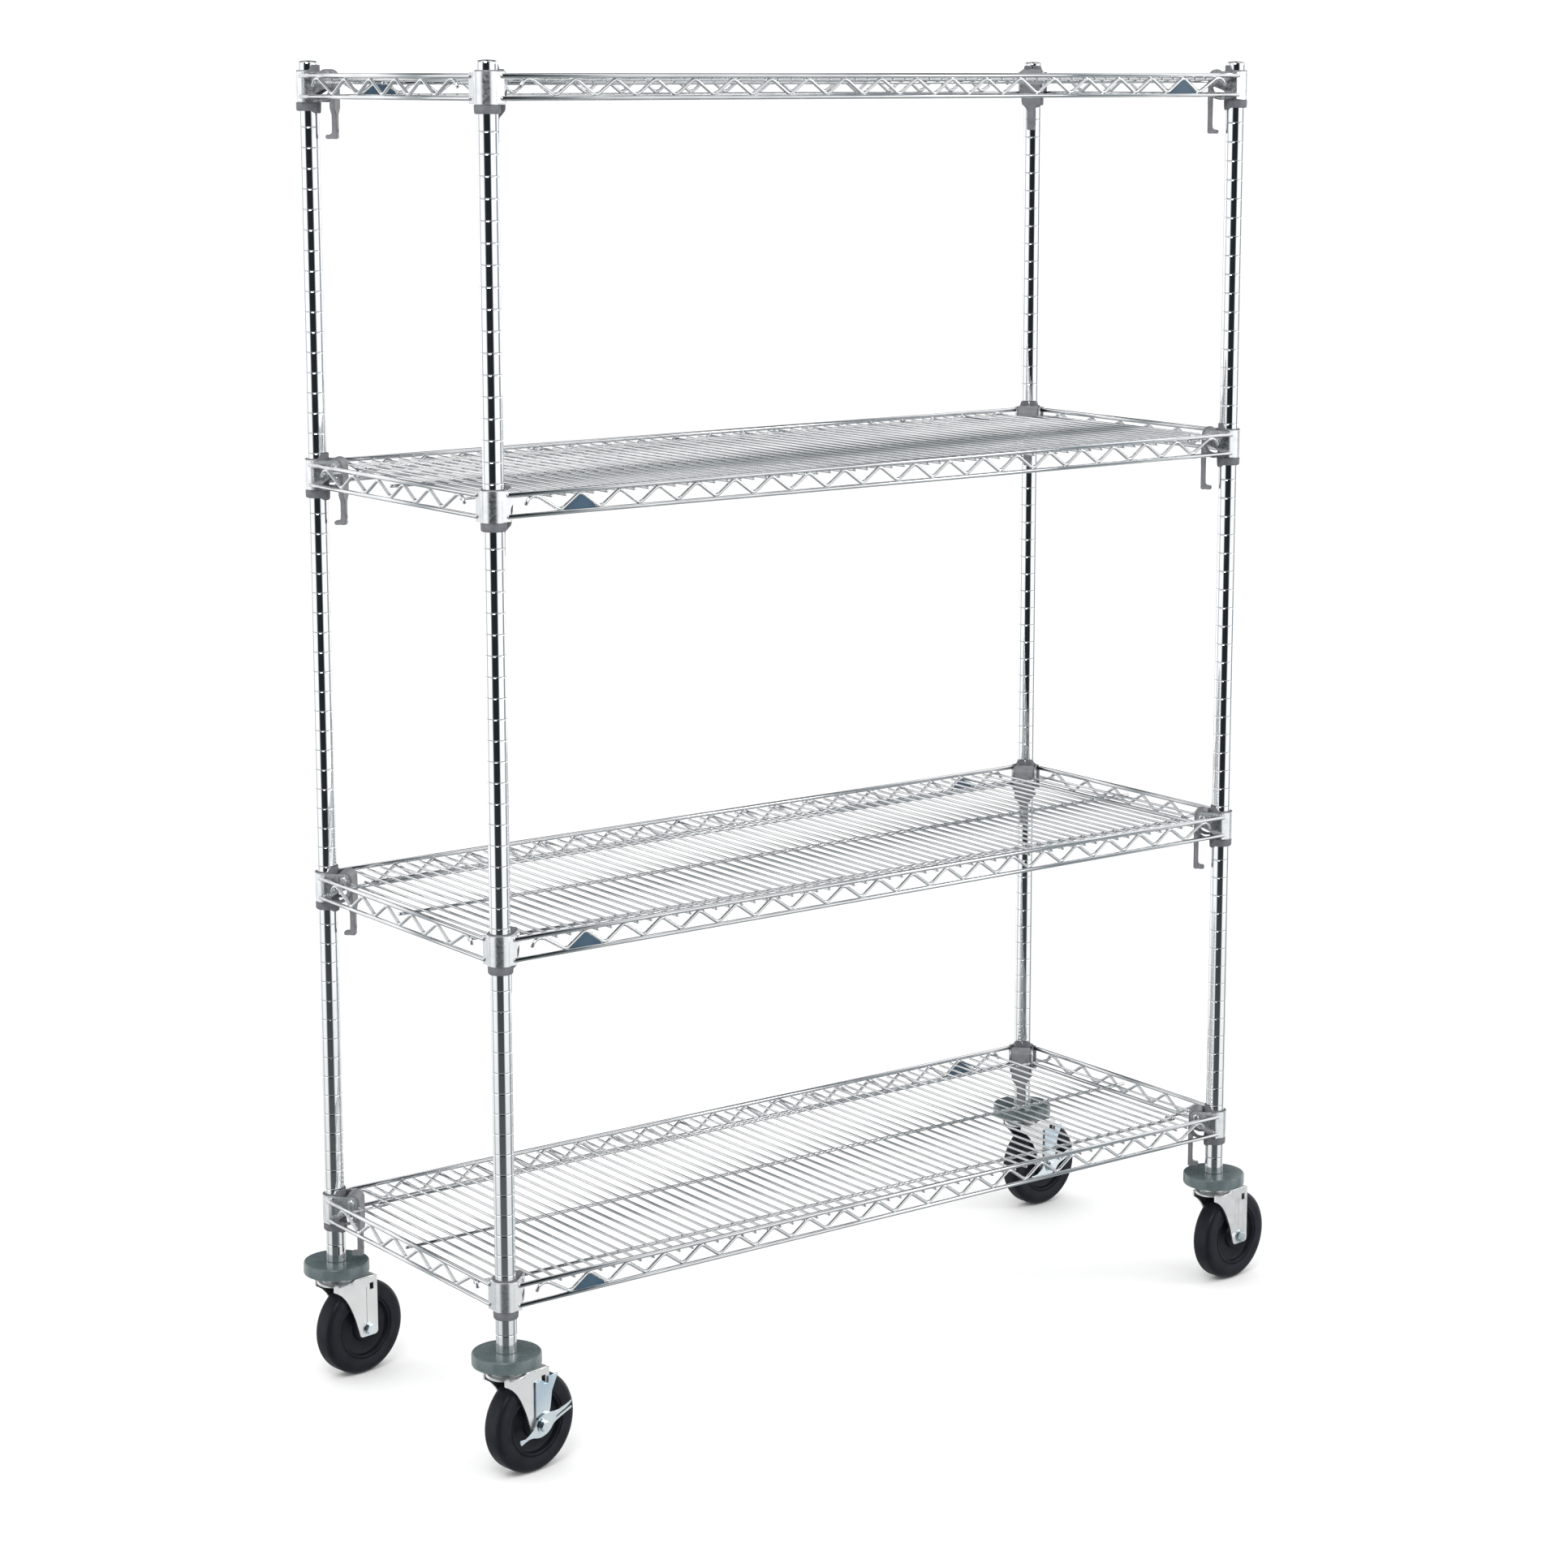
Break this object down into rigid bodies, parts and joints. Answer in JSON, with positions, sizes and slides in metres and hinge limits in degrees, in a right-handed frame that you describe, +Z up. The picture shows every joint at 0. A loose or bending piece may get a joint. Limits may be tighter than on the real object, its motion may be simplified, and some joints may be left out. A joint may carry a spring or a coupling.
{
  "type": "wire shelving rack",
  "caption": "Mobile chrome wire shelving rack: wire decks with zigzag frames clamp to grooved posts by corner levers, on swivel casters with bumpers.",
  "frame": {"origin": "on the floor, under the middle of the rack's whole box, casters included", "axes": "+X along the shelves to the right, +Y from the front to the back, +Z up"},
  "size_m": [1.3232, 0.5052, 1.7145],
  "materials": {
    "chrome": "bright chrome plate over wire and tube",
    "zinc": "bright zinc plated pressed steel",
    "blue_zinc": "blue passivated zinc",
    "grey_sleeve": "satin moulded plastic",
    "grey_lever": "satin moulded plastic",
    "grey_bumper": "glossy blue-grey plastic",
    "label_blue": "plain dark blue label plate, no marking",
    "black_rubber": "smooth black rubber"
  },
  "bodies": {
    "root": {"post_fl": "chrome", "post_fr": "chrome", "post_rl": "chrome", "post_rr": "chrome", "shelf_top": "chrome", "shelf_bottom": "chrome", "sleeve_top_fl": "grey_sleeve", "sleeve_top_fr": "grey_sleeve", "sleeve_top_rl": "grey_sleeve", "sleeve_top_rr": "grey_sleeve", "sleeve_bottom_fl": "grey_sleeve", "sleeve_bottom_fr": "grey_sleeve", "sleeve_bottom_rl": "grey_sleeve", "sleeve_bottom_rr": "grey_sleeve", "bumper_fl": "grey_bumper", "caster_stem_fl": "zinc", "bumper_fr": "grey_bumper", "caster_stem_fr": "zinc", "bumper_rl": "grey_bumper", "caster_stem_rl": "zinc", "bumper_rr": "grey_bumper", "caster_stem_rr": "zinc"},
    "shelf_upper": {"shelf_upper": "chrome", "sleeve_upper_fl": "grey_sleeve", "sleeve_upper_fr": "grey_sleeve", "sleeve_upper_rl": "grey_sleeve", "sleeve_upper_rr": "grey_sleeve"},
    "shelf_lower": {"shelf_lower": "chrome", "sleeve_lower_fl": "grey_sleeve", "sleeve_lower_fr": "grey_sleeve", "sleeve_lower_rl": "grey_sleeve", "sleeve_lower_rr": "grey_sleeve"},
    "lever_bottom_fl": {"release_lever_bottom_fl": "grey_lever"},
    "lever_bottom_fr": {"release_lever_bottom_fr": "grey_lever"},
    "lever_bottom_rl": {"release_lever_bottom_rl": "grey_lever"},
    "lever_bottom_rr": {"release_lever_bottom_rr": "grey_lever"},
    "lever_lower_fl": {"release_lever_lower_fl": "grey_lever"},
    "lever_lower_fr": {"release_lever_lower_fr": "grey_lever"},
    "lever_lower_rl": {"release_lever_lower_rl": "grey_lever"},
    "lever_lower_rr": {"release_lever_lower_rr": "grey_lever"},
    "lever_upper_fl": {"release_lever_upper_fl": "grey_lever"},
    "lever_upper_fr": {"release_lever_upper_fr": "grey_lever"},
    "lever_upper_rl": {"release_lever_upper_rl": "grey_lever"},
    "lever_upper_rr": {"release_lever_upper_rr": "grey_lever"},
    "lever_top_fl": {"release_lever_top_fl": "grey_lever"},
    "lever_top_fr": {"release_lever_top_fr": "grey_lever"},
    "lever_top_rl": {"release_lever_top_rl": "grey_lever"},
    "lever_top_rr": {"release_lever_top_rr": "grey_lever"},
    "caster_fl": {"fork_fl": "zinc", "brake_plate_fl": "blue_zinc"},
    "wheel_fl": {"wheel_fl": "black_rubber"},
    "brake_fl": {"brake_lever_fl": "blue_zinc"},
    "caster_fr": {"fork_fr": "zinc"},
    "wheel_fr": {"wheel_fr": "black_rubber"},
    "caster_rl": {"fork_rl": "zinc"},
    "wheel_rl": {"wheel_rl": "black_rubber"},
    "caster_rr": {"fork_rr": "zinc", "brake_plate_rr": "blue_zinc"},
    "wheel_rr": {"wheel_rr": "black_rubber"},
    "brake_rr": {"brake_lever_rr": "blue_zinc"}
  },
  "joints": [
    {"name": "shelf_upper_height", "type": "slide", "parent": "root", "child": "shelf_upper", "axis": [0, 0, 1], "range_m": [0, 0.3556]},
    {"name": "shelf_lower_height", "type": "slide", "parent": "root", "child": "shelf_lower", "axis": [0, 0, 1], "range_m": [0, 0.4064]},
    {"name": "lever_bottom_fl_swing", "type": "hinge", "parent": "root", "child": "lever_bottom_fl", "pos_m": [-0.59991, -0.19117, 0.2456], "axis": [0.7071, -0.7071, 0], "range_deg": [0, 50]},
    {"name": "lever_bottom_fr_swing", "type": "hinge", "parent": "root", "child": "lever_bottom_fr", "pos_m": [0.54441, -0.19117, 0.2456], "axis": [0.7071, 0.7071, 0], "range_deg": [0, 50]},
    {"name": "lever_bottom_rl_swing", "type": "hinge", "parent": "root", "child": "lever_bottom_rl", "pos_m": [-0.59991, 0.19117, 0.2456], "axis": [-0.7071, -0.7071, 0], "range_deg": [0, 50]},
    {"name": "lever_bottom_rr_swing", "type": "hinge", "parent": "root", "child": "lever_bottom_rr", "pos_m": [0.54441, 0.19117, 0.2456], "axis": [-0.7071, 0.7071, 0], "range_deg": [0, 50]},
    {"name": "lever_lower_fl_swing", "type": "hinge", "parent": "shelf_lower", "child": "lever_lower_fl", "pos_m": [-0.59991, -0.19117, 0.6774], "axis": [0.7071, -0.7071, 0], "range_deg": [0, 50]},
    {"name": "lever_lower_fr_swing", "type": "hinge", "parent": "shelf_lower", "child": "lever_lower_fr", "pos_m": [0.54441, -0.19117, 0.6774], "axis": [0.7071, 0.7071, 0], "range_deg": [0, 50]},
    {"name": "lever_lower_rl_swing", "type": "hinge", "parent": "shelf_lower", "child": "lever_lower_rl", "pos_m": [-0.59991, 0.19117, 0.6774], "axis": [-0.7071, -0.7071, 0], "range_deg": [0, 50]},
    {"name": "lever_lower_rr_swing", "type": "hinge", "parent": "shelf_lower", "child": "lever_lower_rr", "pos_m": [0.54441, 0.19117, 0.6774], "axis": [-0.7071, 0.7071, 0], "range_deg": [0, 50]},
    {"name": "lever_upper_fl_swing", "type": "hinge", "parent": "shelf_upper", "child": "lever_upper_fl", "pos_m": [-0.59991, -0.19117, 1.2108], "axis": [0.7071, -0.7071, 0], "range_deg": [0, 50]},
    {"name": "lever_upper_fr_swing", "type": "hinge", "parent": "shelf_upper", "child": "lever_upper_fr", "pos_m": [0.54441, -0.19117, 1.2108], "axis": [0.7071, 0.7071, 0], "range_deg": [0, 50]},
    {"name": "lever_upper_rl_swing", "type": "hinge", "parent": "shelf_upper", "child": "lever_upper_rl", "pos_m": [-0.59991, 0.19117, 1.2108], "axis": [-0.7071, -0.7071, 0], "range_deg": [0, 50]},
    {"name": "lever_upper_rr_swing", "type": "hinge", "parent": "shelf_upper", "child": "lever_upper_rr", "pos_m": [0.54441, 0.19117, 1.2108], "axis": [-0.7071, 0.7071, 0], "range_deg": [0, 50]},
    {"name": "lever_top_fl_swing", "type": "hinge", "parent": "root", "child": "lever_top_fl", "pos_m": [-0.59991, -0.19117, 1.6934], "axis": [0.7071, -0.7071, 0], "range_deg": [0, 50]},
    {"name": "lever_top_fr_swing", "type": "hinge", "parent": "root", "child": "lever_top_fr", "pos_m": [0.54441, -0.19117, 1.6934], "axis": [0.7071, 0.7071, 0], "range_deg": [0, 50]},
    {"name": "lever_top_rl_swing", "type": "hinge", "parent": "root", "child": "lever_top_rl", "pos_m": [-0.59991, 0.19117, 1.6934], "axis": [-0.7071, -0.7071, 0], "range_deg": [0, 50]},
    {"name": "lever_top_rr_swing", "type": "hinge", "parent": "root", "child": "lever_top_rr", "pos_m": [0.54441, 0.19117, 1.6934], "axis": [-0.7071, 0.7071, 0], "range_deg": [0, 50]},
    {"name": "caster_fl_swivel", "type": "hinge", "parent": "root", "child": "caster_fl", "pos_m": [-0.6183, -0.20955, 0.135], "axis": [0, 0, 1], "continuous": true},
    {"name": "wheel_fl_spin", "type": "hinge", "parent": "caster_fl", "child": "wheel_fl", "pos_m": [-0.58373, -0.20408, 0.0635], "axis": [-0.1564, 0.9877, 0], "continuous": true},
    {"name": "brake_fl_tilt", "type": "hinge", "parent": "caster_fl", "child": "brake_fl", "pos_m": [-0.58373, -0.20408, 0.0635], "axis": [-0.1564, 0.9877, 0], "range_deg": [0, 25]},
    {"name": "caster_fr_swivel", "type": "hinge", "parent": "root", "child": "caster_fr", "pos_m": [0.5628, -0.20955, 0.135], "axis": [0, 0, 1], "continuous": true},
    {"name": "wheel_fr_spin", "type": "hinge", "parent": "caster_fr", "child": "wheel_fr", "pos_m": [0.59754, -0.20528, 0.0635], "axis": [-0.1219, 0.9925, 0], "continuous": true},
    {"name": "caster_rl_swivel", "type": "hinge", "parent": "root", "child": "caster_rl", "pos_m": [-0.6183, 0.20955, 0.135], "axis": [0, 0, 1], "continuous": true},
    {"name": "wheel_rl_spin", "type": "hinge", "parent": "caster_rl", "child": "wheel_rl", "pos_m": [-0.58373, 0.21502, 0.0635], "axis": [-0.1564, 0.9877, 0], "continuous": true},
    {"name": "caster_rr_swivel", "type": "hinge", "parent": "root", "child": "caster_rr", "pos_m": [0.5628, 0.20955, 0.135], "axis": [0, 0, 1], "continuous": true},
    {"name": "wheel_rr_spin", "type": "hinge", "parent": "caster_rr", "child": "wheel_rr", "pos_m": [0.59775, 0.21138, 0.0635], "axis": [-0.0523, 0.9986, 0], "continuous": true},
    {"name": "brake_rr_tilt", "type": "hinge", "parent": "caster_rr", "child": "brake_rr", "pos_m": [0.59775, 0.21138, 0.0635], "axis": [-0.0523, 0.9986, 0], "range_deg": [0, 25]}
  ]
}
